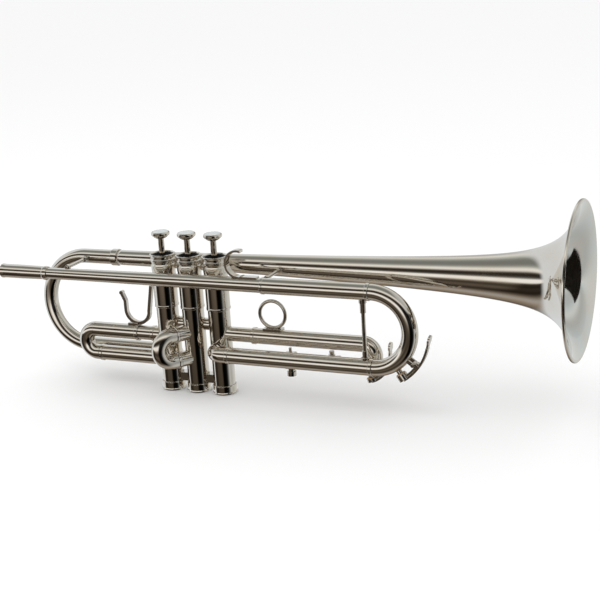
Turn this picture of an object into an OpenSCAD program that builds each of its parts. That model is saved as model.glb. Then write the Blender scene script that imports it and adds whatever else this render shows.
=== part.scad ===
// Piston trumpet with three valves, four slides and two water keys.
// The origin is the centre of the mouthpiece receiver's mouth. +X runs along the leadpipe
// to the bell, +Z is up along the valves and +Y is the player's left.

/* [Overall] */
// Distance from the receiver's mouth to the bell rim
bell_x = 495; // [493:0.5:497]
// Outside diameter of the bell rim
bell_d = 123; // [118:0.5:126]
// Bell axis, to the left of the leadpipe
bell_y = 37.6; // [37.4:0.1:38.4]
// Bell axis, above the leadpipe
bell_z = 6.3; // [5.5:0.1:7]
// Lower leg of the main tuning slide, below the leadpipe
main_drop = 61.6; // [60.5:0.1:62.5]

/* [Tubing] */
// Outside radius of the slide sleeves and bows
sleeve_r = 6.6; // [6.55:0.01:6.7]
// Bore radius of the slide sleeves
sleeve_bore = 6.15; // [6.13:0.01:6.17]
// Outside radius of the inner slide legs
leg_r = 6.1; // [6.08:0.01:6.1]
// Bore radius of the inner slide legs
leg_bore = 5.8; // [5.6:0.05:5.85]
// Radius of the beads round the ends of the sleeves
bead_r = 7.1; // [6.9:0.05:7.2]

/* [Valves] */
// Distance between neighbouring valve axes
valve_pitch = 24.4; // [24.3:0.1:24.6]
// Middle valve's distance from the receiver's mouth
valve_x = 174.8; // [174.6:0.1:175]
// Valve row, to the left of the leadpipe
valve_y = 18.6; // [18.5:0.1:18.7]
// Piston radius
piston_r = 8.45; // [8.42:0.01:8.48]
// Bore radius of the casings
casing_bore = 8.5; // [8.5:0.01:8.51]
// Outside radius of the lower casings
casing_r = 9.3; // [9.2:0.05:9.35]
// Outside radius of the upper casings
upper_casing_r = 10.2; // [10:0.05:10.25]
// Piston stroke
stroke = 16.5; // [16:0.1:16.5]
// Finger button radius
button_r = 7.8; // [7.4:0.1:7.9]

/* [Receiver] */
// Bore radius for the mouthpiece shank
shank_r = 5; // [4.9:0.05:5.2]
// Depth of the shank bore
shank_depth = 25; // [22:0.5:26]

/* [Hidden] */
$fn = 72;
cut = 0.5;

// Leadpipe and main tuning slide
receiver_len = 47.6;
leadpipe_start = 28;
leadpipe_end = 249.5;
leadpipe_tip = 262;
leadpipe_r0 = 4.75;
leadpipe_r1 = 6.1;
main_end = 341;
main_bend = main_drop / 2;
main_leg_start = 268;
brace_x = 334.6;

// Heights on the valves
casing_top = 12;
ledge_z = -22;
seam_z = -28;
casing_foot = -98.5;
cap_foot = -101.2;
cap_rim = 17.5;
dish_floor = 12;
felt_top = 14;
piston_top = -23.5;
piston_foot = -82;
barrel_top = 8;
button_base = felt_top + stroke;
button_top = 36.5;
guide_h = 1.5;
upper_bore = 8.8;
stem_r = 2.6;

// Bell
ferrule_x0 = 90.3;
ferrule_x1 = 96.4;
tail_r = 6.3;
bell_wall = 0.7;
bell_steps = 64;
flare_depth = 21.95;
flare_power = 1.707;
throat_gain = 9.26;
bow_x = 62;
branch_y = 32.6;
branch_z = -73.5;
bow_bore = 5.8;
branch_elbow = 8;
bow_tilt = atan((bell_y - branch_y) / (bell_z - branch_z));
bow_bend = norm([bell_y - branch_y, bell_z - branch_z]) / 2;

// Small slides
first_z0 = -54;
first_z1 = -75;
first_bow_x = 77;
first_split_up = 121.5;
first_split_low = 81;
second_z0 = -48.5;
second_z1 = -70.9;
second_turn = 35;
second_split = 19;
second_bow = 23;
third_z0 = -49.2;
third_z1 = -68.2;
third_bow_x = 326;
third_split_up = 229.3;
third_split_low = 305;
lyre_x = 262;

// Crossovers between the valves
cross_y = 4;
cross_z = -43.4;
cross_r = 5.2;
cross_bore = 4.3;

// Water keys
key_axle_r = 0.8;
key_hub_bore = 0.85;
key_hub_r = 1.9;

function valve(n) = [valve_x + (n - 2) * valve_pitch, valve_y, 0];
function valve_left(n) = valve(n)[0] - casing_r;
function valve_right(n) = valve(n)[0] + casing_r;
function leadpipe_at(x) =
    leadpipe_r0 + (leadpipe_r1 - leadpipe_r0) * (x - leadpipe_start) / (leadpipe_end - leadpipe_start);
// Outside radius of the bell at a distance x from the receiver
function bell_at(x) =
    tail_r + throat_gain * pow(max(0, (x - ferrule_x1) / (bell_x - ferrule_x1)), 1.6)
    + (bell_d / 2 - tail_r - throat_gain) * pow(1 + (bell_x - x) / flare_depth, -flare_power);
// Stations along the bell, closer together towards the rim
function bell_station(i) =
    ferrule_x1 + (bell_x - ferrule_x1) * (1 - pow(1 - i / bell_steps, 2));
function bell_skin(x) =
    bell_wall * sqrt(1 + pow((bell_at(x) - bell_at(x - 0.5)) / 0.5, 2));

// Straight tube along +X
module tube_x(x0, x1, y, z, ro, ri) {
    translate([x0, y, z]) rotate([0, 90, 0])
        difference() {
            cylinder(h = x1 - x0, r = ro);
            translate([0, 0, -cut]) cylinder(h = x1 - x0 + 2 * cut, r = ri);
        }
}

// Solid rod along +X
module rod_x(x0, x1, y, z, r) {
    translate([x0, y, z]) rotate([0, 90, 0]) cylinder(h = x1 - x0, r = r);
}

// Rounded bead round a tube along +X
module bead_x(x0, x1, y, z, ro, ri) {
    soft = 0.35;
    translate([x0, y, z]) rotate([0, 90, 0])
        rotate_extrude()
            polygon([
                [ri, 0], [ro - soft, 0], [ro, soft], [ro, x1 - x0 - soft],
                [ro - soft, x1 - x0], [ri, x1 - x0]
            ]);
}

// Half turn of tube in the XZ plane, open towards -X
module u_bow(bend, ro, ri) {
    rotate([90, 0, 0]) rotate([0, 0, -90])
        rotate_extrude(angle = 180)
            translate([bend, 0]) rotate(180)
                difference() {
                    circle(r = ro);
                    circle(r = ri);
                }
}

// Straight tube along a vertical axis
module tube_z(z0, z1, ro, ri) {
    translate([0, 0, z0])
        difference() {
            cylinder(h = z1 - z0, r = ro);
            translate([0, 0, -cut]) cylinder(h = z1 - z0 + 2 * cut, r = ri);
        }
}

module casing_core(n, grow = 0) {
    translate(valve(n) + [0, 0, -110]) cylinder(h = 140, r = casing_r + grow);
}

// Mouthpiece receiver and leadpipe

module mouthpiece_receiver() {
    socket = leadpipe_at(leadpipe_start);
    color("silver")
        difference() {
            rotate([0, 90, 0]) rotate_extrude()
                polygon([
                    [0, 0], [5.75, 0], [6.2, 0.45], [6.3, 1.2], [6.2, 2.4], [6.05, 4.2],
                    [6.05, 22], [5.7, 42.2], [5.75, 43.2], [6.1, 44], [6.1, 45.6],
                    [5.8, 46.6], [5.5, receiver_len], [0, receiver_len]
                ]);
            translate([-cut, 0, 0]) rotate([0, 90, 0]) cylinder(h = shank_depth + cut, r = shank_r);
            rod_x(shank_depth - 0.1, leadpipe_start, 0, 0, 4.2);
            translate([leadpipe_start, 0, 0]) rotate([0, 90, 0])
                cylinder(h = receiver_len - leadpipe_start + 1, r1 = socket, r2 = leadpipe_at(receiver_len + 1));
        }
}

module leadpipe_cone(x0, x1) {
    translate([x0, 0, 0]) rotate([0, 90, 0])
        cylinder(h = x1 - x0, r1 = leadpipe_at(x0), r2 = leadpipe_at(x1));
}

module leadpipe() {
    color("silver")
        difference() {
            union() {
                leadpipe_cone(leadpipe_start, leadpipe_end);
                rod_x(leadpipe_end, leadpipe_tip, 0, 0, sleeve_bore);
            }
            translate([leadpipe_start - cut, 0, 0]) rotate([0, 90, 0])
                cylinder(h = leadpipe_end - leadpipe_start + cut, r1 = 4.3, r2 = 5.6);
            rod_x(leadpipe_end - 0.1, leadpipe_tip + cut, 0, 0, 5.6);
        }
}

module leadpipe_sleeve() {
    color("silver")
        union() {
            tube_x(leadpipe_end, main_end, 0, 0, sleeve_r, sleeve_bore);
            bead_x(leadpipe_end, leadpipe_end + 2.5, 0, 0, sleeve_r + 0.35, sleeve_r - 0.1);
            bead_x(main_end - 3, main_end, 0, 0, bead_r, sleeve_r - 0.1);
        }
}

module main_lower_sleeve() {
    elbow = 9;
    end_x = valve(3)[0] + elbow;
    color("silver")
        difference() {
            union() {
                tube_x(end_x + 6, main_end, 0, -main_drop, sleeve_r, sleeve_bore);
                tube_x(end_x, end_x + 6.1, 0, -main_drop, sleeve_r, leg_bore);
                bead_x(end_x + 5, end_x + 8, 0, -main_drop, bead_r, sleeve_r - 0.1);
                bead_x(main_end - 3, main_end, 0, -main_drop, bead_r, sleeve_r - 0.1);
                translate([end_x, elbow, -main_drop]) rotate([0, 0, 180])
                    rotate_extrude(angle = 90) translate([elbow, 0])
                        difference() {
                            circle(r = sleeve_r);
                            circle(r = leg_bore);
                        }
                translate([valve(3)[0], elbow, -main_drop]) rotate([-90, 0, 0])
                    difference() {
                        cylinder(h = 4, r = sleeve_r);
                        translate([0, 0, -cut]) cylinder(h = 5, r = leg_bore);
                    }
            }
            casing_core(3);
        }
}

module main_sleeve_brace() {
    color("silver")
        difference() {
            translate([brace_x, 0, -main_drop])
                union() {
                    cylinder(h = main_drop, r = 1.7);
                    translate([0, 0, main_drop - 17]) cylinder(h = 8, r = 2.4);
                    translate([0, 0, main_drop - 9.2]) cylinder(h = 4.2, r = 3.1);
                    translate([0, 0, 7]) cylinder(h = 6.5, r = 2.3);
                    translate([0, 0, 4]) cylinder(h = 4, r = 3.1);
                }
            rod_x(brace_x - 10, brace_x + 10, 0, 0, sleeve_r);
            rod_x(brace_x - 10, brace_x + 10, 0, -main_drop, sleeve_r);
        }
}

// Bell

module bell_solid() {
    translate([0, bell_y, bell_z]) rotate([0, 90, 0]) rotate_extrude()
        polygon(concat(
            [[0, ferrule_x1]],
            [for (i = [0 : bell_steps])
                let (x = bell_station(i))
                [bell_at(x), x]],
            [[0, bell_x]]
        ));
}

module bell_flare() {
    rim_r = 1.25;
    color("silver")
        union() {
            translate([0, bell_y, bell_z]) rotate([0, 90, 0]) rotate_extrude()
                polygon(concat(
                    [[tail_r - bell_wall, ferrule_x1 - 3]],
                    [[tail_r, ferrule_x1 - 3]],
                    [[tail_r, ferrule_x1 - 0.1]],
                    [for (i = [0 : bell_steps])
                        let (x = bell_station(i))
                        [bell_at(x), x]],
                    [for (i = [bell_steps : -1 : 0])
                        let (x = bell_station(i))
                        [bell_at(x) - bell_skin(x), x]]
                ));
            translate([bell_x - rim_r, bell_y, bell_z]) rotate([0, 90, 0])
                rotate_extrude() translate([bell_d / 2 - rim_r - 0.1, 0]) circle(r = rim_r);
        }
}

module bell_ferrule() {
    color("silver")
        bead_x(ferrule_x0, ferrule_x1 - 0.1, bell_y, bell_z, 7.35, tail_r);
}

module bell_bow() {
    color("silver")
        translate([bow_x, (bell_y + branch_y) / 2, (bell_z + branch_z) / 2]) rotate([-bow_tilt, 0, 0])
            union() {
                rotate([0, 0, 180]) u_bow(bow_bend, tail_r, bow_bore);
                tube_x(0, ferrule_x1 - 3 - bow_x, 0, bow_bend, tail_r, bow_bore);
            }
}

module bell_branch() {
    color("silver")
        difference() {
            union() {
                tube_x(bow_x, valve(1)[0] - branch_elbow, branch_y, branch_z, tail_r, bow_bore);
                translate([valve(1)[0] - branch_elbow, branch_y - branch_elbow, branch_z])
                    rotate_extrude(angle = 90) translate([branch_elbow, 0])
                        difference() {
                            circle(r = tail_r);
                            circle(r = bow_bore);
                        }
            }
            casing_core(1);
        }
}

module bell_braces() {
    brace_z = 5.6;
    color("silver")
        for (x = [66, 253])
            difference() {
                translate([x, 0, brace_z]) rotate([-90, 0, 0])
                    union() {
                        cylinder(h = bell_y, r = 1.5);
                        translate([0, 0, 1.5]) cylinder(h = 2.6, r = 2.2);
                        translate([0, 0, bell_y - 10]) cylinder(h = 5, r = 2.5);
                    }
                if (x < leadpipe_end) leadpipe_cone(x - 8, x + 8);
                else rod_x(x - 8, x + 8, 0, 0, bead_r);
                if (x < ferrule_x0) rod_x(x - 8, x + 8, bell_y, bell_z, tail_r);
                else bell_solid();
            }
}

module finger_hook() {
    centre = [230.4, 17];
    ro = 11.9;
    ri = 10;
    width = 6;
    color("silver")
        difference() {
            translate([0, width / 2, 0]) rotate([90, 0, 0])
                linear_extrude(height = width)
                    union() {
                        translate(centre)
                            difference() {
                                circle(r = ro);
                                circle(r = ri);
                                translate([3, -ro - 1]) square([ro, 2 * ro + 2]);
                            }
                        translate([centre[0] + 2.9, centre[1] - ro + 0.2]) square([13, 1.8]);
                        translate([centre[0] + 4, 2]) square([12, 4]);
                    }
            leadpipe_cone(centre[0] - 16, leadpipe_end + 6);
        }
}

// Valve block

module upper_casings() {
    color("silver")
        for (n = [1 : 3])
            translate(valve(n))
                difference() {
                    rotate_extrude()
                        polygon([
                            [0, seam_z], [upper_casing_r - 0.3, seam_z], [upper_casing_r, seam_z + 0.3],
                            [upper_casing_r, seam_z + 1.6], [upper_casing_r - 0.25, seam_z + 2],
                            [upper_casing_r - 0.25, 3], [upper_casing_r, 4.6], [upper_casing_r, 8.4],
                            [upper_casing_r - 0.7, 9.4], [upper_casing_r - 0.7, 10.4],
                            [upper_casing_r, 11], [upper_casing_r, casing_top], [0, casing_top]
                        ]);
                    translate([0, 0, seam_z - cut]) cylinder(h = ledge_z - seam_z + cut, r = casing_r);
                    translate([0, 0, ledge_z - 0.1]) cylinder(h = casing_top - ledge_z + cut, r = upper_bore);
                }
}

// Hole through a casing wall: az is measured from +X, side shifts it sideways
module port(n, z, az, r, side = 0) {
    translate(valve(n) + [0, 0, z]) rotate([0, 0, az]) translate([0, side, 0])
        rotate([0, 90, 0]) cylinder(h = 14, r = r);
}

module lower_casing(n) {
    color("silver")
        difference() {
            translate(valve(n)) tube_z(casing_foot, ledge_z, casing_r, casing_bore);
            if (n == 1) {
                port(1, first_z0, 180, leg_bore);
                port(1, first_z1, 180, leg_bore);
                port(1, branch_z, 90, 5.6);
            }
            if (n == 2) {
                port(2, second_z0, 270 - second_turn, leg_bore);
                port(2, second_z1, 270 - second_turn, leg_bore);
            }
            if (n == 3) {
                port(3, third_z0, 0, leg_bore);
                port(3, third_z1, 0, leg_bore);
                port(3, -main_drop, 270, leg_bore);
            }
            if (n < 3) port(n, cross_z, 0, cross_bore, cross_y);
            if (n > 1) port(n, cross_z, 180, cross_bore, -cross_y);
        }
}

module valve_crossovers() {
    color("silver")
        for (n = [1 : 2])
            difference() {
                tube_x(valve(n)[0], valve(n + 1)[0], valve_y + cross_y, cross_z, cross_r, cross_bore);
                casing_core(n);
                casing_core(n + 1);
            }
}

module casing_bridges() {
    color("silver")
        for (n = [1 : 2])
            difference() {
                translate([valve(n)[0], valve_y - 3.5, -93.2]) cube([valve_pitch, 7, 7.4]);
                casing_core(n);
                casing_core(n + 1);
            }
}

module top_caps() {
    color("silver")
        for (n = [1 : 3])
            translate(valve(n))
                rotate_extrude()
                    polygon([
                        [2.9, dish_floor - 2], [7.9, dish_floor - 2], [7.9, 8.5], [upper_bore, 8.5],
                        [upper_bore, casing_top], [10.3, casing_top], [10.8, casing_top + 0.4],
                        [10.8, casing_top + 1.2], [10.3, casing_top + 1.7], [10.1, casing_top + 2.4],
                        [10.3, cap_rim - 1.6], [10.8, cap_rim - 0.9], [10.8, cap_rim - 0.3],
                        [10.5, cap_rim], [9.8, cap_rim], [9.3, cap_rim - 0.5], [9.1, cap_rim - 1],
                        [9.1, dish_floor], [4.6, dish_floor], [4.6, felt_top - 0.4],
                        [4.3, felt_top - 0.1], [2.9, felt_top - 0.1]
                    ]);
}

module bottom_caps() {
    color("silver")
        for (n = [1 : 3])
            translate(valve(n))
                rotate_extrude()
                    polygon([
                        [2, cap_foot], [9.8, cap_foot], [10.5, cap_foot + 0.5], [10.5, cap_foot + 1.3],
                        [10.05, cap_foot + 1.9], [10.05, -94.2], [9.8, -93.6], [casing_r, -93.6],
                        [casing_r, casing_foot], [8.5, casing_foot], [8.5, -99.8], [2, -99.8]
                    ]);
}

module dish_felts() {
    color("black")
        for (n = [1 : 3])
            translate(valve(n))
                rotate_extrude()
                    polygon([
                        [4.8, dish_floor], [8.9, dish_floor], [8.9, cap_rim - 0.8],
                        [8.1, cap_rim - 0.8], [8.1, felt_top], [4.8, felt_top]
                    ]);
}

module stem_felts() {
    color("black")
        for (n = [1 : 3])
            translate(valve(n)) tube_z(barrel_top, dish_floor - 2, 7.5, 3.1);
}

// Cross bar that holds the foot of each spring and keeps the piston from turning
module valve_guides() {
    color("goldenrod")
        for (n = [1 : 3])
            translate(valve(n) + [0, 0, ledge_z])
                union() {
                    cylinder(h = guide_h, r = 7.2);
                    intersection() {
                        cylinder(h = guide_h, r = 8.7);
                        translate([-9, -1.8, 0]) cube([18, 3.6, guide_h]);
                    }
                }
}

// Piston with its ported body below and its slotted spring barrel above
module piston(n) {
    barrel_bore = 7.6;
    color("gainsboro")
        translate(valve(n))
            difference() {
                translate([0, 0, piston_foot]) cylinder(h = barrel_top - piston_foot, r = piston_r);
                translate([0, 0, piston_top]) cylinder(h = barrel_top - 2 - piston_top, r = barrel_bore);
                translate([-10, -2, ledge_z - 0.8]) cube([20, 4, stroke + guide_h + 1.6]);
                translate([0, 0, barrel_top - 3]) cylinder(h = 4, r = 2);
                for (level = [0 : 2])
                    translate([0, 0, -33.5 - 17 * level]) rotate([0, 76, 60 * level + 20])
                        cylinder(h = 40, r = 4.4, center = true);
                translate([0, 0, piston_foot - cut]) cylinder(h = 6, r = 6.2);
            }
}

module stem(n) {
    color("silver")
        translate(valve(n))
            union() {
                translate([0, 0, barrel_top]) cylinder(h = button_base - barrel_top, r = stem_r);
                translate([0, 0, barrel_top - 3]) cylinder(h = 3.1, r = 2);
                translate([0, 0, button_base - 0.1]) cylinder(h = 2.1, r = 1.8);
            }
}

module button(n) {
    color("silver")
        translate(valve(n))
            rotate_extrude()
                polygon([
                    [1.8, button_base], [3.4, button_base], [4.6, button_base + 0.35],
                    [5.8, button_base + 1.2], [6.6, button_base + 2.1], [button_r - 0.4, button_base + 2.6],
                    [button_r, button_base + 3.2], [button_r, button_top - 1.5],
                    [button_r - 0.3, button_top - 0.8], [6.9, button_top - 0.4],
                    [6.6, button_top - 0.6], [6.6, button_top - 1.4], [0, button_top - 1.4],
                    [0, button_base + 2], [1.8, button_base + 2]
                ]);
}

module button_pearl(n) {
    color("ghostwhite")
        translate(valve(n))
            rotate_extrude()
                polygon([
                    [0, button_top - 1.4], [6.6, button_top - 1.4], [6.6, button_top - 0.5],
                    [5.2, button_top - 0.15], [3, button_top], [0, button_top]
                ]);
}

// Coil spring between the guide and the head of the barrel
module valve_spring(n) {
    foot = ledge_z + guide_h + 0.1;
    head = barrel_top - 2.1;
    wire = 0.45;
    coils = 7;
    color("gray")
        translate(valve(n) + [0, 0, foot])
            linear_extrude(height = head - foot, twist = -360 * coils, slices = 16 * coils, $fn = 6)
                translate([5.2, 0]) scale([1, 2]) circle(r = wire, $fn = 6);
}

// Main tuning slide

module main_slide_legs() {
    color("silver")
        for (z = [0, -main_drop])
            tube_x(main_leg_start, main_end + 0.3, 0, z, leg_r, leg_bore);
}

module main_slide_bow() {
    color("silver")
        translate([main_end + 0.3, 0, -main_bend])
            water_key_seat(main_bend, -57, -37, 41.6)
                u_bow(main_bend, sleeve_r, leg_bore);
}

// Adds the spout and the two pivot lugs of a water key to a bow centred on the origin
module water_key_seat(bend, cup_a, pivot_a, pivot_r) {
    outside = bend + sleeve_r;
    difference() {
        union() {
            children();
            polar_cylinder(cup_a, outside - 0.6, outside + 2.6, 2.4);
            difference() {
                for (side = [-1, 1])
                    polar_lug(pivot_a, outside - 2, pivot_r, 1.7, side * 3.5, 1.3);
                rotate([90, 0, 0]) rotate([0, 0, -90]) rotate_extrude(angle = 180)
                    translate([bend, 0]) circle(r = leg_bore + 0.4);
            }
        }
        polar_cylinder(cup_a, outside - 3, outside + 3, 1.2);
    }
}

// Flat pivot lug with a round end and a pin hole, standing out at angle a
module polar_lug(a, d0, d1, r, y, t) {
    rotate([0, -a, 0]) translate([0, y + t / 2, 0]) rotate([90, 0, 0])
        linear_extrude(height = t)
            difference() {
                union() {
                    translate([d1, 0]) circle(r = r);
                    translate([d0, -r + 0.2]) square([d1 - d0, 2 * r - 0.4]);
                }
                translate([d1, 0]) circle(r = key_axle_r);
            }
}

// Cylinder standing out from the bow's centre at angle a above +X, between two distances
module polar_cylinder(a, d0, d1, r) {
    rotate([0, 90 - a, 0]) translate([0, 0, d0]) cylinder(h = d1 - d0, r = r);
}

// Flat bar standing out in the same way, shifted along Y
module polar_bar(a, d0, d1, w, y, t) {
    rotate([0, -a, 0]) translate([d0, y - t / 2, -w / 2]) cube([d1 - d0, t, w]);
}

// Short cylinder along Y at a polar place
module polar_axle(a, d, y, len, r) {
    translate([d * cos(a), y, d * sin(a)]) rotate([90, 0, 0])
        cylinder(h = len, r = r, center = true);
}

module key_axle(pivot_a, pivot_r) {
    color("silver")
        union() {
            polar_axle(pivot_a, pivot_r, 0, 8.9, key_axle_r);
            polar_axle(pivot_a, pivot_r, -4.75, 1.1, 1.35);
        }
}

// Cup, hub and thumb lever of a water key. The lever follows the bow at the radius band_r
// up to the angle end_a, then runs straight on for pad_len and ends in a round thumb pad.
module key_lever(bend, cup_a, pivot_a, pivot_r, band_r, end_a, pad_len) {
    outside = bend + sleeve_r;
    band_t = 1.9;
    band_w = 4.8;
    root_t = 3.2;
    pad_t = 1.6;
    pad_w = 4.4;
    pad_r = 3.9;
    color("silver")
        difference() {
            union() {
                polar_cylinder(cup_a, outside + 3.2, band_r, 4.5);
                polar_axle(pivot_a, pivot_r, 0, 5.2, key_hub_r);
                polar_bar(pivot_a, pivot_r, band_r, 3.2, 0, 5);
                polar_band(band_r - root_t + 0.4, root_t, pad_w, cup_a + 2, pivot_a + 4);
                polar_band(band_r - band_t / 2, band_t, band_w, cup_a, end_a);
                rotate([0, -end_a, 0]) translate([band_r - pad_t / 2, 0, 0])
                    union() {
                        translate([0, -pad_w / 2, -1]) cube([pad_t, pad_w, pad_len - pad_r + 1]);
                        translate([0, 0, pad_len - pad_r]) rotate([0, 90, 0])
                            cylinder(h = pad_t, r = pad_r);
                    }
            }
            polar_axle(pivot_a, pivot_r, 0, 12, key_hub_bore);
            polar_cylinder(cup_a, outside + 2, outside + 5, 3.8);
        }
}

// Band of thickness t and width w that follows the bow from angle a0 to a1
module polar_band(inner_r, t, w, a0, a1) {
    rotate([90, 0, 0]) rotate([0, 0, a0])
        rotate_extrude(angle = a1 - a0)
            translate([inner_r, -w / 2]) square([t, w]);
}

module key_cork(bend, cup_a) {
    outside = bend + sleeve_r;
    color("peru") polar_cylinder(cup_a, outside + 2.65, outside + 5, 3.8);
}

// First slide, with the thumb saddle

module first_slide_fixed_leg() {
    color("silver")
        difference() {
            union() {
                tube_x(first_bow_x + 9, valve(1)[0], valve_y, first_z0, leg_r, leg_bore);
                bead_x(134, 137, valve_y, first_z0, 6.7, leg_r - 0.1);
            }
            casing_core(1);
        }
}

module first_slide_fixed_sleeve() {
    color("silver")
        difference() {
            union() {
                tube_x(first_split_low, valve(1)[0] - 12, valve_y, first_z1, sleeve_r, sleeve_bore);
                tube_x(valve(1)[0] - 12.1, valve(1)[0], valve_y, first_z1, sleeve_r, leg_bore);
                bead_x(first_split_low, first_split_low + 3, valve_y, first_z1, bead_r, sleeve_r - 0.1);
            }
            casing_core(1);
        }
}

module first_slide_tubes() {
    color("silver") {
        union() {
            tube_x(first_bow_x, first_split_up, valve_y, first_z0, sleeve_r, sleeve_bore);
            bead_x(first_split_up - 3.2, first_split_up, valve_y, first_z0, bead_r, sleeve_r - 0.1);
        }
        tube_x(first_bow_x, 129, valve_y, first_z1, leg_r, leg_bore);
    }
}

module first_slide_bow() {
    color("silver")
        translate([first_bow_x, valve_y, (first_z0 + first_z1) / 2])
            union() {
                rotate([0, 0, 180]) u_bow((first_z0 - first_z1) / 2, sleeve_r, leg_bore);
                translate([0, 0, (first_z1 - first_z0) / 2]) rod_ring(3.6);
            }
}

// Sleeve-sized collar that continues a bow past its end
module rod_ring(len) {
    tube_x(0, len, 0, 0, sleeve_r, leg_r);
}

module first_slide_saddle() {
    centre = [121.4, -34];
    bend = 11.3;
    bar = 2.8;
    width = 3.4;
    lean = 10.5;
    curl = 24;
    foot = first_split_up - 10;
    color("silver")
        difference() {
            union() {
                translate([0, valve_y + width / 2, 0]) rotate([90, 0, 0])
                    linear_extrude(height = width)
                        union() {
                            translate(centre)
                                intersection() {
                                    difference() {
                                        circle(r = bend + bar / 2);
                                        circle(r = bend - bar / 2);
                                    }
                                    translate([-20, -20]) square([40, 20.01]);
                                }
                            translate(centre + [-bend - bar / 2, 0]) square([bar, 8]);
                            translate(centre + [-bend, 8])
                                union() {
                                    circle(r = bar / 2);
                                    rotate(curl) translate([-bar / 2, 0]) square([bar, 7.5]);
                                    rotate(curl) translate([0, 7.5]) circle(r = 1.8);
                                }
                            translate(centre + [bend, 0])
                                union() {
                                    circle(r = bar / 2);
                                    rotate(-lean) translate([-bar / 2, 0]) square([bar, 23]);
                                }
                        }
                translate([foot, valve_y - 2.6, first_z0 + 5]) cube([9.6, 5.2, 3.6]);
            }
            rod_x(90, 140, valve_y, first_z0, sleeve_r);
            rod_x(first_split_up - 3.3, 140, valve_y, first_z0, bead_r);
        }
}

// Second slide, which leans out towards the player's right

module second_frame() {
    translate(valve(2)) rotate([0, 0, 270 - second_turn]) children();
}

module second_slide_sleeves() {
    color("silver")
        difference() {
            second_frame()
                for (z = [second_z0, second_z1]) {
                    tube_x(3, second_split, 0, z, sleeve_r, sleeve_bore);
                    bead_x(second_split - 2.4, second_split, 0, z, bead_r, sleeve_r - 0.1);
                }
            casing_core(2);
        }
}

module second_slide_bow() {
    color("silver")
        second_frame()
            union() {
                for (z = [second_z0, second_z1]) {
                    tube_x(9.6, second_bow, 0, z, leg_r, leg_bore);
                    tube_x(second_split + 0.3, second_bow, 0, z, sleeve_r, leg_r - 0.05);
                }
                translate([second_bow, 0, (second_z0 + second_z1) / 2])
                    u_bow((second_z0 - second_z1) / 2, sleeve_r, leg_bore);
            }
}

// Third slide, with the finger ring

module third_slide_fixed_leg() {
    color("silver")
        difference() {
            tube_x(valve(3)[0], 300, valve_y, third_z0, leg_r, leg_bore);
            casing_core(3);
        }
}

module third_slide_fixed_sleeve() {
    color("silver")
        difference() {
            union() {
                tube_x(valve(3)[0] + 12, third_split_low, valve_y, third_z1, sleeve_r, sleeve_bore);
                tube_x(valve(3)[0], valve(3)[0] + 12.1, valve_y, third_z1, sleeve_r, leg_bore);
                bead_x(third_split_low - 3.2, third_split_low, valve_y, third_z1, bead_r, sleeve_r - 0.1);
            }
            casing_core(3);
        }
}

module third_slide_stop_post() {
    color("silver")
        difference() {
            translate([298.6, valve_y, third_z1])
                union() {
                    cylinder(h = 10.6, r = 1.5);
                    translate([0, 0, 5]) cylinder(h = 3, r = 2.8);
                    translate([0, 0, 9.2]) cylinder(h = 1.6, r = 2.2);
                }
            rod_x(280, 320, valve_y, third_z1, sleeve_r);
        }
}

module lyre_holder() {
    color("silver")
        difference() {
            union() {
                bead_x(lyre_x - 4, lyre_x + 4, valve_y, third_z1, sleeve_r + 0.9, sleeve_r);
                translate([lyre_x, valve_y, third_z1 + 5]) cylinder(h = 5.8, r = 1.3);
                translate([lyre_x, valve_y, third_z1 - 9.2]) cylinder(h = 5, r = 3);
            }
            rod_x(lyre_x - 6, lyre_x + 6, valve_y, third_z1, sleeve_r);
            translate([lyre_x, valve_y, third_z1 - 12]) cylinder(h = 5.3, r = 1.55);
        }
}

module lyre_screw() {
    color("silver")
        translate([lyre_x, valve_y, third_z1])
            union() {
                translate([0, 0, -13]) cylinder(h = 3.6, r = 3.9);
                translate([0, 0, -9.5]) cylinder(h = 2.7, r = 1.5);
            }
}

module third_slide_tubes() {
    color("silver") {
        union() {
            tube_x(third_split_up, third_bow_x, valve_y, third_z0, sleeve_r, sleeve_bore);
            bead_x(third_split_up, third_split_up + 3, valve_y, third_z0, bead_r, sleeve_r - 0.1);
        }
        tube_x(240, third_bow_x, valve_y, third_z1, leg_r, leg_bore);
    }
}

module third_slide_bow() {
    color("silver")
        translate([third_bow_x, valve_y, (third_z0 + third_z1) / 2])
            water_key_seat((third_z0 - third_z1) / 2, -72, -33, 20.6)
                union() {
                    u_bow((third_z0 - third_z1) / 2, sleeve_r, leg_bore);
                    translate([-3.6, 0, (third_z1 - third_z0) / 2]) rod_ring(3.7);
                }
}

module third_slide_ring() {
    ring = [248.2, valve_y, -29.7];
    color("silver")
        difference() {
            union() {
                translate(ring) rotate([90, 0, 0]) rotate_extrude() translate([11.3, 0]) circle(r = 1.5);
                translate([ring[0] - 8, valve_y - 4, third_z0 + 3]) cube([16, 8, 4.9]);
                translate([ring[0] - 3.5, valve_y - 1.5, third_z0 + 5]) cube([7, 3, 4]);
            }
            rod_x(ring[0] - 12, ring[0] + 12, valve_y, third_z0, sleeve_r);
        }
}

// Water keys in place

module main_key_frame() {
    translate([main_end + 0.3, 0, -main_bend]) children();
}

module third_key_frame() {
    translate([third_bow_x, valve_y, (third_z0 + third_z1) / 2]) children();
}

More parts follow.
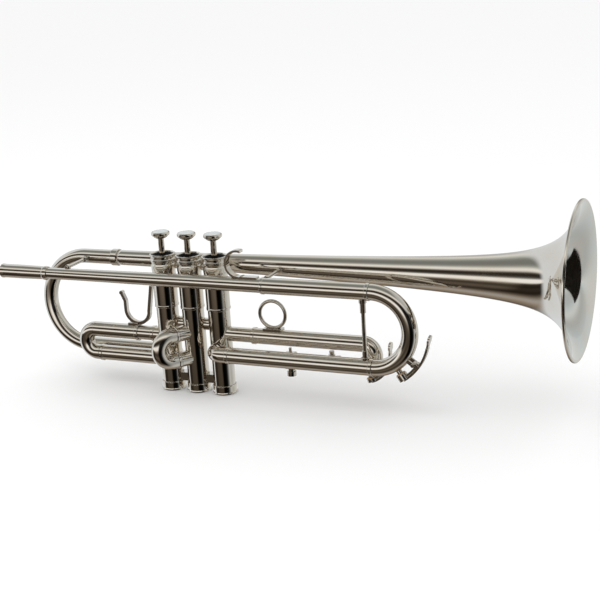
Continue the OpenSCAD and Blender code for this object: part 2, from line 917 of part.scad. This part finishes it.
mouthpiece_receiver();
leadpipe();
leadpipe_sleeve();
main_lower_sleeve();
main_sleeve_brace();
bell_flare();
bell_ferrule();
bell_bow();
bell_branch();
bell_braces();
finger_hook();
upper_casings();
lower_casing(1);  // lower_casing_1
lower_casing(2);  // lower_casing_2
lower_casing(3);  // lower_casing_3
valve_crossovers();
casing_bridges();
top_caps();
bottom_caps();
dish_felts();
stem_felts();
valve_guides();
first_slide_fixed_leg();
first_slide_fixed_sleeve();
second_slide_sleeves();
third_slide_fixed_leg();
third_slide_fixed_sleeve();
third_slide_stop_post();
lyre_holder();
lyre_screw();
piston(1);  // piston_1
piston(2);  // piston_2
piston(3);  // piston_3
stem(1);  // stem_1
stem(2);  // stem_2
stem(3);  // stem_3
button(1);  // button_1
button(2);  // button_2
button(3);  // button_3
button_pearl(1);  // button_pearl_1
button_pearl(2);  // button_pearl_2
button_pearl(3);  // button_pearl_3
valve_spring(1);  // valve_spring_1
valve_spring(2);  // valve_spring_2
valve_spring(3);  // valve_spring_3
main_slide_legs();
main_slide_bow();
main_key_frame() key_lever(main_bend, -57, -37, 41.6, 45.9, -14, 10.5);  // main_key_lever
main_key_frame() key_cork(main_bend, -57);  // main_key_cork
main_key_frame() key_axle(-37, 41.6);  // main_key_axle
first_slide_tubes();
first_slide_bow();
first_slide_saddle();
second_slide_bow();
third_slide_tubes();
third_slide_bow();
third_slide_ring();
third_key_frame() key_lever(9.5, -72, -33, 20.6, 22.3, -4, 14.2);  // third_key_lever
third_key_frame() key_cork(9.5, -72);  // third_key_cork
third_key_frame() key_axle(-33, 20.6);  // third_key_axle
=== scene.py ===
import math

import bpy
from mathutils import Matrix, Vector


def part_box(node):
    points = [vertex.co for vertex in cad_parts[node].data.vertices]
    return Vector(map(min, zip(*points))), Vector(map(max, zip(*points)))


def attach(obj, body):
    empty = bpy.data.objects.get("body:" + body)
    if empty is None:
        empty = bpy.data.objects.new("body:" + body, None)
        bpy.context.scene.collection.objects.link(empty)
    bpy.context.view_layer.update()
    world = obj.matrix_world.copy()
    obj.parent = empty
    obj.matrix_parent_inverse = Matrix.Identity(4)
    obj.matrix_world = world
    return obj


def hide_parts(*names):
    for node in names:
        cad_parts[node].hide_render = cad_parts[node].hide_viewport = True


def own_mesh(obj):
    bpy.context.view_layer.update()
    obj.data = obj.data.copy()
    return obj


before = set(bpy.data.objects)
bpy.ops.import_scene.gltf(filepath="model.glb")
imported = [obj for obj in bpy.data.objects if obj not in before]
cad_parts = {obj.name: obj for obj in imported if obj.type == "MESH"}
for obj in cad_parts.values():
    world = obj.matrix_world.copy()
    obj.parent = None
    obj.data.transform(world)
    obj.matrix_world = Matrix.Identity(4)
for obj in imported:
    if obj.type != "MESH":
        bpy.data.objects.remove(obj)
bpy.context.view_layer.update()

MM = 0.001
FLOOR_Z = -101.3 * MM


# ---------------------------------------------------------------- shader graphs

class Graph:
    """A node tree built from the output backwards, with short names for the common steps."""

    def __init__(self, tree):
        self.tree = tree
        tree.nodes.clear()

    def add(self, kind, inputs=None, **settings):
        node = self.tree.nodes.new(kind)
        for name, value in settings.items():
            setattr(node, name, value)
        for name, value in (inputs or {}).items():
            self.feed(node.inputs[name], value)
        return node

    def feed(self, socket, value):
        if isinstance(value, bpy.types.NodeSocket):
            self.tree.links.new(value, socket)
        else:
            socket.default_value = value

    def math(self, operation, a, b=0.0):
        return self.add("ShaderNodeMath", {0: a, 1: b}, operation=operation).outputs[0]

    def remap(self, value, low, high, out_low=0.0, out_high=1.0):
        node = self.add("ShaderNodeMapRange", {
            "Value": value, "From Min": low, "From Max": high,
            "To Min": out_low, "To Max": out_high}, interpolation_type="SMOOTHSTEP")
        return node.outputs[0]

    def mix(self, factor, a, b):
        node = self.add("ShaderNodeMix", data_type="RGBA")
        self.feed(node.inputs[0], factor)
        self.feed(node.inputs[6], a)
        self.feed(node.inputs[7], b)
        return node.outputs[2]

    def place(self, stretch=(1, 1, 1)):
        coords = self.add("ShaderNodeTexCoord")
        node = self.add("ShaderNodeMapping", {"Vector": coords.outputs["Object"],
                                              "Scale": stretch})
        return node.outputs[0]

    def noise(self, where, scale, detail=3.0, roughness=0.55, distortion=0.0):
        node = self.add("ShaderNodeTexNoise", {
            "Vector": where, "Scale": scale, "Detail": detail,
            "Roughness": roughness, "Distortion": distortion})
        return node.outputs["Fac"]

    def spots(self, where, scale, randomness=1.0):
        node = self.add("ShaderNodeTexVoronoi", {
            "Vector": where, "Scale": scale, "Randomness": randomness})
        return node.outputs["Distance"]

    def crevice(self, distance):
        """1 in open surfaces, falling to 0 in tight corners."""
        node = self.add("ShaderNodeAmbientOcclusion", {"Distance": distance}, samples=4)
        return node.outputs["AO"]

    def edge(self, radius):
        """Rounded normal near sharp edges, and how far it leans from the true one."""
        soft = self.add("ShaderNodeBevel", {"Radius": radius}, samples=4).outputs[0]
        true = self.add("ShaderNodeNewGeometry").outputs["Normal"]
        dot = self.add("ShaderNodeVectorMath", {0: soft, 1: true}, operation="DOT_PRODUCT")
        lean = self.math("SUBTRACT", 1.0, dot.outputs["Value"])
        return soft, self.remap(lean, 0.01, 0.12)

    def bump(self, height, strength, distance, normal=None):
        node = self.add("ShaderNodeBump", {
            "Height": height, "Strength": strength, "Distance": distance})
        if normal is not None:
            self.feed(node.inputs["Normal"], normal)
        return node.outputs[0]

    def surface(self, **inputs):
        names = {key.replace("_", " "): value for key, value in inputs.items()}
        shader = self.add("ShaderNodeBsdfPrincipled", names)
        out = self.add("ShaderNodeOutputMaterial")
        self.tree.links.new(shader.outputs[0], out.inputs["Surface"])


def colour(r, g, b):
    return (r, g, b, 1.0)


def new_material(name):
    material = bpy.data.materials.new(name)
    material.use_nodes = True
    return material, Graph(material.node_tree)


def plated(name, base, warm, rough, scratch_stretch, haze=0.0):
    """Polished plate: hairline scratches, handling haze, painted shade in corners and between
    parts, worn edges.
    """
    material, g = new_material(name)
    here = g.place()
    broad = g.noise(here, 42, 4.0)
    fine = g.noise(here, 700, 2.0)
    hair = g.noise(g.place(scratch_stretch), 900, 2.0, 0.7)
    soft, worn = g.edge(0.35 * MM)
    open_air = g.crevice(3.5 * MM)
    smudge = g.remap(broad, 0.48, 0.72)
    tint = g.mix(g.remap(broad, 0.3, 0.7), base, warm)
    tint = g.mix(g.math("MULTIPLY", worn, 0.35), tint, colour(0.93, 0.90, 0.82))
    # painted shade: the plate colour turns dark brown where the occlusion node finds other
    # surfaces near, in corners and between parts
    painted_corner_shade = g.remap(open_air, 0.1, 0.8, 0.75, 0.0)
    tint = g.mix(painted_corner_shade, tint, colour(0.16, 0.125, 0.09))
    roughness = g.math("ADD", rough, g.math("MULTIPLY", smudge, 0.05 + haze))
    roughness = g.math("ADD", roughness, g.math("MULTIPLY", g.remap(hair, 0.55, 0.8), 0.05))
    roughness = g.math("ADD", roughness, g.math("MULTIPLY", worn, 0.08))
    relief = g.math("ADD", hair, g.math("MULTIPLY", fine, 0.6))
    normal = g.bump(relief, 0.05, 0.02 * MM, soft)
    g.surface(Base_Color=tint, Metallic=1.0, Roughness=roughness, Normal=normal)
    return material


def piston_alloy():
    """Honed piston wall with fine turning rings and a slight oil film."""
    material, g = new_material("piston_alloy")
    rings = g.noise(g.place((0.05, 0.05, 1)), 2600, 2.0)
    film = g.noise(g.place(), 60, 3.0)
    soft, worn = g.edge(0.3 * MM)
    tint = g.mix(g.remap(film, 0.3, 0.7), colour(0.66, 0.64, 0.60), colour(0.74, 0.72, 0.68))
    tint = g.mix(g.math("MULTIPLY", worn, 0.5), tint, colour(0.88, 0.80, 0.62))
    roughness = g.remap(rings, 0.3, 0.75, 0.12, 0.30)
    g.surface(Base_Color=tint, Metallic=1.0, Roughness=roughness,
              Normal=g.bump(rings, 0.15, 0.01 * MM, soft))
    return material


def brass():
    material, g = new_material("machined_brass")
    marks = g.noise(g.place((1, 1, 6)), 900, 3.0)
    cloud = g.noise(g.place(), 150, 3.0)
    soft, worn = g.edge(0.2 * MM)
    tint = g.mix(g.remap(cloud, 0.3, 0.7), colour(0.62, 0.42, 0.16), colour(0.80, 0.60, 0.30))
    tint = g.mix(g.math("MULTIPLY", worn, 0.6), tint, colour(0.92, 0.76, 0.46))
    g.surface(Base_Color=tint, Metallic=1.0, Roughness=g.remap(marks, 0.3, 0.7, 0.18, 0.36),
              Normal=g.bump(marks, 0.2, 0.02 * MM, soft))
    return material


def spring_steel():
    material, g = new_material("spring_steel")
    drawn = g.noise(g.place((4, 4, 0.6)), 900, 3.0)
    stain = g.noise(g.place(), 240, 3.0)
    tint = g.mix(g.remap(stain, 0.45, 0.75), colour(0.52, 0.52, 0.53), colour(0.33, 0.28, 0.23))
    g.surface(Base_Color=tint, Metallic=1.0, Roughness=g.remap(drawn, 0.3, 0.7, 0.22, 0.42),
              Normal=g.bump(drawn, 0.25, 0.02 * MM))
    return material


def pearl():
    """Mother of pearl: drifting colour under a clear polish, with faint growth lines."""
    material, g = new_material("mother_of_pearl")
    drift = g.noise(g.place(), 230, 4.0, 0.6, 1.4)
    lines = g.noise(g.place((1, 5, 1)), 420, 4.0, 0.65, 0.8)
    soft, worn = g.edge(0.3 * MM)
    tint = g.mix(g.remap(drift, 0.35, 0.62), colour(0.66, 0.65, 0.61), colour(0.52, 0.58, 0.57))
    tint = g.mix(g.remap(lines, 0.5, 0.75, 0.0, 0.5), tint, colour(0.64, 0.56, 0.56))
    tint = g.mix(g.math("MULTIPLY", worn, 0.4), tint, colour(0.62, 0.58, 0.52))
    g.surface(Base_Color=tint, Roughness=g.remap(lines, 0.3, 0.8, 0.12, 0.30),
              Metallic=0.15, Coat_Weight=0.6, Coat_Roughness=0.05,
              Normal=g.bump(lines, 0.12, 0.03 * MM, soft))
    return material


def felt():
    """Pressed felt: matted fibres and lint."""
    material, g = new_material("black_felt")
    fibre = g.noise(g.place((1, 1, 3)), 2400, 5.0, 0.75, 1.2)
    lint = g.noise(g.place(), 500, 3.0)
    tint = g.mix(g.remap(lint, 0.5, 0.8), colour(0.012, 0.012, 0.013), colour(0.05, 0.048, 0.045))
    g.surface(Base_Color=tint, Roughness=0.95, Sheen_Weight=0.25, Sheen_Roughness=0.5,
              Specular_IOR_Level=0.15, Normal=g.bump(fibre, 0.9, 0.15 * MM))
    return material


def cork():
    """Natural cork: warm grain with dark pores."""
    material, g = new_material("natural_cork")
    grain = g.noise(g.place(), 900, 4.0, 0.7)
    pores = g.spots(g.place(), 1400)
    soft, worn = g.edge(0.25 * MM)
    tint = g.mix(g.remap(grain, 0.35, 0.65), colour(0.42, 0.25, 0.12), colour(0.66, 0.46, 0.27))
    tint = g.mix(g.remap(pores, 0.0, 0.25, 0.7, 0.0), tint, colour(0.13, 0.07, 0.035))
    tint = g.mix(g.math("MULTIPLY", worn, 0.5), tint, colour(0.20, 0.13, 0.08))
    height = g.math("ADD", g.math("MULTIPLY", grain, 0.5), pores)
    g.surface(Base_Color=tint, Roughness=g.remap(grain, 0.3, 0.7, 0.62, 0.9),
              Specular_IOR_Level=0.3, Normal=g.bump(height, 0.7, 0.12 * MM, soft))
    return material


NICKEL = colour(0.80, 0.755, 0.69)
NICKEL_WARM = colour(0.78, 0.715, 0.625)
# cooler tint of the same plate, used only as painted reflected light inside the bell
NICKEL_PAINTED_COOL_LIGHT = colour(0.76, 0.79, 0.775)
ALONG_X = (0.05, 1, 1)
ALONG_Z = (1, 1, 0.05)
EVERY_WAY = (1, 1, 1)

MATERIALS = {
    "tube": plated("plate_on_tube", NICKEL, NICKEL_WARM, 0.045, ALONG_X),
    "casing": plated("plate_on_casing", NICKEL, NICKEL_WARM, 0.05, ALONG_Z),
    "fitting": plated("plate_on_fitting", NICKEL, NICKEL_WARM, 0.06, EVERY_WAY),
    "bell": plated("plate_on_bell", NICKEL, NICKEL_WARM, 0.05, ALONG_X, 0.03),
    # painted reflection: the same plate inside the bell, tinted cooler to stand in for the cool
    # light seen in the throat
    "bell_inside_painted_cool": plated("plate_in_bell_painted_cool_light", NICKEL_PAINTED_COOL_LIGHT, NICKEL, 0.06, ALONG_X, 0.05),
    "piston": piston_alloy(),
    "brass": brass(),
    "spring": spring_steel(),
    "pearl": pearl(),
    "felt": felt(),
    "cork": cork(),
}


def finish_of(node):
    """The material key for a CAD node, from its plain name."""
    if node.startswith("button_pearl"):
        return "pearl"
    if node.endswith("felts"):
        return "felt"
    if node.endswith("cork"):
        return "cork"
    if node.startswith("valve_spring"):
        return "spring"
    if node.startswith("piston"):
        return "piston"
    if node == "valve_guides":
        return "brass"
    if node.startswith("bell"):
        return "bell"
    if "casing" in node or "cap" in node or node.startswith("stem"):
        return "casing"
    if node.startswith(("leadpipe", "mouthpiece", "main_lower", "main_slide")) or "slide" in node:
        return "tube"
    return "fitting"


for name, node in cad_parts.items():
    node.data.materials.clear()
    node.data.materials.append(MATERIALS[finish_of(name)])


# ---------------------------------------------------------------- bell

BELL_AXIS = Vector((0, 37.6, 6.3)) * MM
BELL_START = 93.4
BELL_NECK = 96.4
BELL_END = 495.0
BELL_RADIUS = 61.5
TAIL_RADIUS = 6.3
THROAT_GAIN = 9.26
FLARE_DEPTH = 21.95
FLARE_POWER = 1.707
THROAT_POWER = 1.6
BELL_WALL = 0.7
RIM_RADIUS = 1.25
RIM_X = BELL_END - RIM_RADIUS
RIM_R = BELL_RADIUS - RIM_RADIUS - 0.1
BELL_STEPS = 220
RIM_STEPS = 20
AROUND = 256
SLOPE_STEP = 0.5


def bell_radius(x):
    """Outside radius of the bell, in millimetres, at x millimetres from the receiver."""
    if x < BELL_NECK:
        return TAIL_RADIUS
    reach = (x - BELL_NECK) / (BELL_END - BELL_NECK)
    flare = (1 + (BELL_END - x) / FLARE_DEPTH) ** -FLARE_POWER
    flare_gain = BELL_RADIUS - TAIL_RADIUS - THROAT_GAIN
    return TAIL_RADIUS + THROAT_GAIN * reach ** THROAT_POWER + flare_gain * flare


def inner_radius(x):
    """Inside radius of the bell at x, one wall thickness in from the outside."""
    slope = 0.0
    if x > BELL_NECK:
        slope = (bell_radius(x) - bell_radius(x - SLOPE_STEP)) / SLOPE_STEP
    return bell_radius(x) - BELL_WALL * math.hypot(1, slope)


def clear_of_rim(x, radius):
    return math.hypot(x - RIM_X, radius - RIM_R) > RIM_RADIUS


def bell_outline():
    """Closed (x, radius) outline in millimetres: outside, round the rolled rim, back inside."""
    stations = [BELL_START, BELL_NECK - 0.1]
    for i in range(BELL_STEPS + 1):
        share = 1 - (1 - i / BELL_STEPS) ** 2
        stations.append(BELL_NECK + (BELL_END - BELL_NECK) * share)
    outside = [(x, bell_radius(x)) for x in stations]
    outside = [p for p in outside if clear_of_rim(*p) and p[0] < RIM_X]
    inside = [(x, inner_radius(x)) for x in stations]
    inside = [p for p in inside if clear_of_rim(*p) and p[1] < RIM_R]
    begin = math.atan2(outside[-1][1] - RIM_R, outside[-1][0] - RIM_X)
    finish = math.atan2(inside[-1][1] - RIM_R, inside[-1][0] - RIM_X)
    begin = begin if begin > finish else begin + 2 * math.pi
    roll = []
    for i in range(RIM_STEPS + 1):
        angle = begin + (finish - begin) * i / RIM_STEPS
        roll.append((RIM_X + RIM_RADIUS * math.cos(angle), RIM_R + RIM_RADIUS * math.sin(angle)))
    return outside, roll, inside[::-1]


def build_bell():
    """The bell turned as one smooth closed shell, with a cooler-tinted copy of its plate inside
    the mouth: painted cool reflected light.
    """
    outside, roll, inside = bell_outline()
    outline = outside + roll + inside
    first_inside = len(outside) + len(roll)
    vertices = []
    for x, radius in outline:
        for k in range(AROUND):
            angle = 2 * math.pi * k / AROUND
            spoke = Vector((x, radius * math.cos(angle), radius * math.sin(angle)))
            vertices.append(BELL_AXIS + spoke * MM)
    faces, inner = [], []
    rows = len(outline)
    for i in range(rows):
        j = (i + 1) % rows
        for k in range(AROUND):
            m = (k + 1) % AROUND
            faces.append((i * AROUND + k, j * AROUND + k, j * AROUND + m, i * AROUND + m))
            inner.append(i >= first_inside and j != 0)
    mesh = bpy.data.meshes.new("bell_shell")
    mesh.from_pydata(vertices, [], faces)
    mesh.materials.append(MATERIALS["bell"])
    mesh.materials.append(MATERIALS["bell_inside_painted_cool"])
    mesh.polygons.foreach_set("material_index", [int(flag) for flag in inner])
    mesh.polygons.foreach_set("use_smooth", [True] * len(faces))
    mesh.validate()
    mesh.update()
    bell = bpy.data.objects.new("bell_shell", mesh)
    bpy.context.collection.objects.link(bell)
    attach(bell, "horn")
    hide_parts("bell_flare")


build_bell()


# ---------------------------------------------------------------- springs

COILS = 7
COIL_RADIUS = 5.2 * MM
WIRE_RADIUS = 0.45 * MM
STEPS_A_COIL = 24
WIRE_SIDES = 8


def build_spring(n):
    """Round wire coil for one valve, moving as one piece with the valve's body."""
    node = f"valve_spring_{n}"
    low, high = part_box(node)
    centre = (Vector(low) + Vector(high)) / 2
    foot, head = low[2] + WIRE_RADIUS, high[2] - WIRE_RADIUS
    upward = Vector((0, 0, 1))
    rings = COILS * STEPS_A_COIL
    vertices, faces = [], []
    for i in range(rings + 1):
        turn = 2 * math.pi * i / STEPS_A_COIL
        outward = Vector((math.cos(turn), math.sin(turn), 0))
        height = foot + (head - foot) * i / rings
        middle = Vector((centre.x, centre.y, height)) + outward * COIL_RADIUS
        for k in range(WIRE_SIDES):
            around = 2 * math.pi * k / WIRE_SIDES
            spoke = math.cos(around) * outward + math.sin(around) * upward
            vertices.append(middle + WIRE_RADIUS * spoke)
    for i in range(rings):
        for k in range(WIRE_SIDES):
            m = (k + 1) % WIRE_SIDES
            low_ring, high_ring = i * WIRE_SIDES, (i + 1) * WIRE_SIDES
            faces.append((low_ring + k, low_ring + m, high_ring + m, high_ring + k))
    faces.append(tuple(range(WIRE_SIDES))[::-1])
    faces.append(tuple(rings * WIRE_SIDES + k for k in range(WIRE_SIDES)))
    mesh = bpy.data.meshes.new(f"valve_coil_{n}")
    mesh.from_pydata(vertices, [], faces)
    mesh.polygons.foreach_set("use_smooth", [len(face) == 4 for face in faces])
    mesh.materials.append(MATERIALS["spring"])
    mesh.update()
    coil = bpy.data.objects.new(f"valve_coil_{n}", mesh)
    bpy.context.collection.objects.link(coil)
    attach(coil, f"valve_{n}")
    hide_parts(node)
    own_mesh(coil)


for valve in (1, 2, 3):
    build_spring(valve)


# ---------------------------------------------------------------- studio

METAL_LEVEL = 0.78
FLOOR_SIZE = 40.0
SOFTBOX_AT = (-0.3, -0.6, 1.6)
SOFTBOX_AIM = (0.25, 0, 0)
SOFTBOX_SIZE = (1.6, 1.2)
SOFTBOX_WATTS = 6.0
CAMERA_AT = (678.09, -872.78, 272.45)
CAMERA_FORWARD = (-0.39641, 0.87347, -0.28268)
CAMERA_ROLL = -3.72
CAMERA_LENS = 76.25
CARD_CORNERS = [(585, -75, -56), (570, 91, -56), (570, 91, 14), (585, -75, 75)]

CREAM = (1.0, 0.985, 0.95)
BROWN = (1.04, 0.84, 0.64)
GREEN = (0.98, 1.03, 0.99)
COOL = (0.97, 1.02, 1.03)
PALE = (0.95, 1.0, 1.05)
SOOT = colour(0.012, 0.009, 0.006)

# Light round the instrument's long axis: angle above the front horizon, brightness, tint
STUDIO_BANDS = [
    (-180, 0.66, CREAM), (-165, 0.94, CREAM), (-151, 0.58, CREAM), (-138, 0.28, BROWN),
    (-124, 0.40, BROWN), (-103, 0.52, BROWN),
    (-86, 0.62, CREAM), (-72, 0.44, BROWN), (-60, 0.20, BROWN), (-48, 0.22, BROWN),
    (-36, 0.36, BROWN), (-28, 0.26, BROWN), (-19, 0.20, BROWN), (-11, 0.44, BROWN),
    (-5, 0.76, CREAM), (2, 1.04, CREAM), (9, 0.96, CREAM), (15, 0.44, CREAM),
    (22, 0.20, BROWN), (33, 0.14, BROWN), (41, 0.28, BROWN), (48, 0.80, CREAM),
    (56, 0.90, CREAM), (64, 0.70, GREEN), (72, 0.52, GREEN), (82, 0.44, GREEN),
    (108, 0.43, GREEN), (130, 0.78, GREEN), (144, 0.88, CREAM),
    (156, 0.40, BROWN), (168, 0.30, BROWN), (180, 0.66, CREAM),
]


def linear(level):
    """Linear light for a screen brightness of 0 to 1."""
    return level ** 2.2


def light_colour(level, tint):
    """World colour that the metal reflects back at this screen brightness, with a tint."""
    return colour(*[linear(level) * part / METAL_LEVEL for part in tint])


def band_ramp(g, share):
    """The studio bands as one smooth colour ramp over a full turn."""
    ramp = g.add("ShaderNodeValToRGB", {"Fac": share})
    ramp.color_ramp.interpolation = "B_SPLINE"
    stops = ramp.color_ramp.elements
    while len(stops) > 1:
        stops.remove(stops[-1])
    for i, (angle, level, tint) in enumerate(STUDIO_BANDS):
        place = (angle + 180) / 360
        stop = stops[0] if i == 0 else stops.new(place)
        stop.position = place
        stop.color = light_colour(level, tint)
    return ramp.outputs[0]


def rise(g, angle, start, end):
    """0 before the start angle and 1 after the end angle, both in degrees."""
    return g.remap(angle, math.radians(start), math.radians(end))


def fall(g, angle, start, end):
    """1 before the start angle and 0 after the end angle, both in degrees."""
    return g.remap(angle, math.radians(start), math.radians(end), 1.0, 0.0)


def studio_reflection(g):
    """What polished metal sees: banded light, a dark doorway, and pale walls at both ends."""
    ray = g.add("ShaderNodeTexCoord").outputs["Generated"]
    part = g.add("ShaderNodeSeparateXYZ", {0: ray}).outputs
    towards = g.math("MULTIPLY", part["Y"], -1.0)
    turn = g.math("ARCTAN2", part["Z"], towards)
    bands = band_ramp(g, g.math("ADD", g.math("DIVIDE", turn, 2 * math.pi), 0.5))
    half_towards = g.math("MULTIPLY", towards, 0.5)

    # cool wall beyond the bell
    right = g.math("SUBTRACT", part["X"], half_towards)
    bands = g.mix(g.remap(right, 0.3, 0.6, 0.0, 0.72), bands, light_colour(0.72, COOL))

    # dark doorway beside the camera
    side = g.math("ARCTAN2", part["X"], towards)
    across = g.math("MULTIPLY", rise(g, side, 7, 24), fall(g, side, 58, 90))
    upright = g.math("MULTIPLY", g.remap(part["Z"], -0.95, -0.75),
                     g.remap(part["Z"], 0.25, 0.5, 1.0, 0.0))
    doorway = g.math("MULTIPLY", g.math("MULTIPLY", across, upright), 0.985)
    bands = g.mix(doorway, bands, colour(0, 0, 0))

    # dim corner low on the left, which darkens the underside of the flare
    corner = g.math("MULTIPLY", fall(g, side, -45, -33), rise(g, side, -84, -72))
    under = g.math("MULTIPLY", fall(g, turn, -12, -6), rise(g, turn, -62, -50))
    dim = g.math("MULTIPLY", g.math("MULTIPLY", corner, under), 0.8)
    bands = g.mix(dim, bands, SOOT)

    # pale wall behind the mouthpiece end
    left = g.math("ADD", part["X"], half_towards)
    return g.mix(g.remap(left, -0.84, -0.68, 1.0, 0.0), bands, light_colour(0.80, PALE))


def build_world():
    """Banded light for what polished metal reflects, plain white for the camera and the rest."""
    world = bpy.data.worlds.new("studio")
    bpy.context.scene.world = world
    world.use_nodes = True
    g = Graph(world.node_tree)
    mirror = g.add("ShaderNodeBackground", {"Color": studio_reflection(g), "Strength": 1.0})
    plain = g.add("ShaderNodeBackground", {"Color": colour(1, 1, 1), "Strength": 1.0})
    glossy = g.add("ShaderNodeLightPath").outputs["Is Glossy Ray"]
    light = g.add("ShaderNodeMixShader", {0: glossy, 1: plain.outputs[0], 2: mirror.outputs[0]})
    out = g.add("ShaderNodeOutputWorld")
    g.tree.links.new(light.outputs[0], out.inputs["Surface"])


def build_floor():
    mesh = bpy.data.meshes.new("floor")
    corners = [(x * FLOOR_SIZE, y * FLOOR_SIZE, FLOOR_Z)
               for x, y in ((-1, -1), (1, -1), (1, 1), (-1, 1))]
    mesh.from_pydata(corners, [], [(0, 1, 2, 3)])
    floor = bpy.data.objects.new("floor", mesh)
    bpy.context.collection.objects.link(floor)
    material, g = new_material("pale_floor")
    g.surface(Base_Color=colour(0.94, 0.94, 0.94), Roughness=0.9, Specular_IOR_Level=0.0)
    mesh.materials.append(material)
    floor.visible_glossy = False


def build_card():
    """A black card beside the bell, seen only in reflections: it darkens the throat."""
    mesh = bpy.data.meshes.new("black_card")
    mesh.from_pydata([Vector(corner) * MM for corner in CARD_CORNERS], [], [(0, 1, 2, 3)])
    card = bpy.data.objects.new("black_card", mesh)
    bpy.context.collection.objects.link(card)
    material, g = new_material("black_card")
    g.surface(Base_Color=colour(0.012, 0.010, 0.008), Roughness=1.0, Specular_IOR_Level=0.0)
    mesh.materials.append(material)
    card.visible_camera = False
    card.visible_diffuse = False
    card.visible_shadow = False


def build_light():
    light = bpy.data.lights.new("softbox", "AREA")
    light.shape = "RECTANGLE"
    light.size, light.size_y = SOFTBOX_SIZE
    light.energy = SOFTBOX_WATTS
    key = bpy.data.objects.new("softbox", light)
    bpy.context.collection.objects.link(key)
    key.location = SOFTBOX_AT
    key.rotation_mode = "QUATERNION"
    key.rotation_quaternion = (key.location - Vector(SOFTBOX_AIM)).to_track_quat("Z", "Y")
    key.visible_glossy = False
    key.visible_camera = False


def build_camera():
    data = bpy.data.cameras.new("camera")
    data.lens = CAMERA_LENS
    data.sensor_width = 36.0
    data.clip_start = 0.01
    data.clip_end = 100.0
    camera = bpy.data.objects.new("camera", data)
    bpy.context.collection.objects.link(camera)
    forward = Vector(CAMERA_FORWARD).normalized()
    level = forward.cross(Vector((0, 0, 1))).normalized()
    above = level.cross(forward)
    roll = math.radians(CAMERA_ROLL)
    right = math.cos(roll) * level + math.sin(roll) * above
    up = math.cos(roll) * above - math.sin(roll) * level
    turn = Matrix((right, up, -forward)).transposed()
    camera.matrix_world = Matrix.Translation(Vector(CAMERA_AT) * MM) @ turn.to_4x4()
    bpy.context.scene.camera = camera


build_world()
build_floor()
build_card()
build_light()
build_camera()
bpy.context.scene.view_settings.view_transform = "Standard"
bpy.context.view_layer.update()
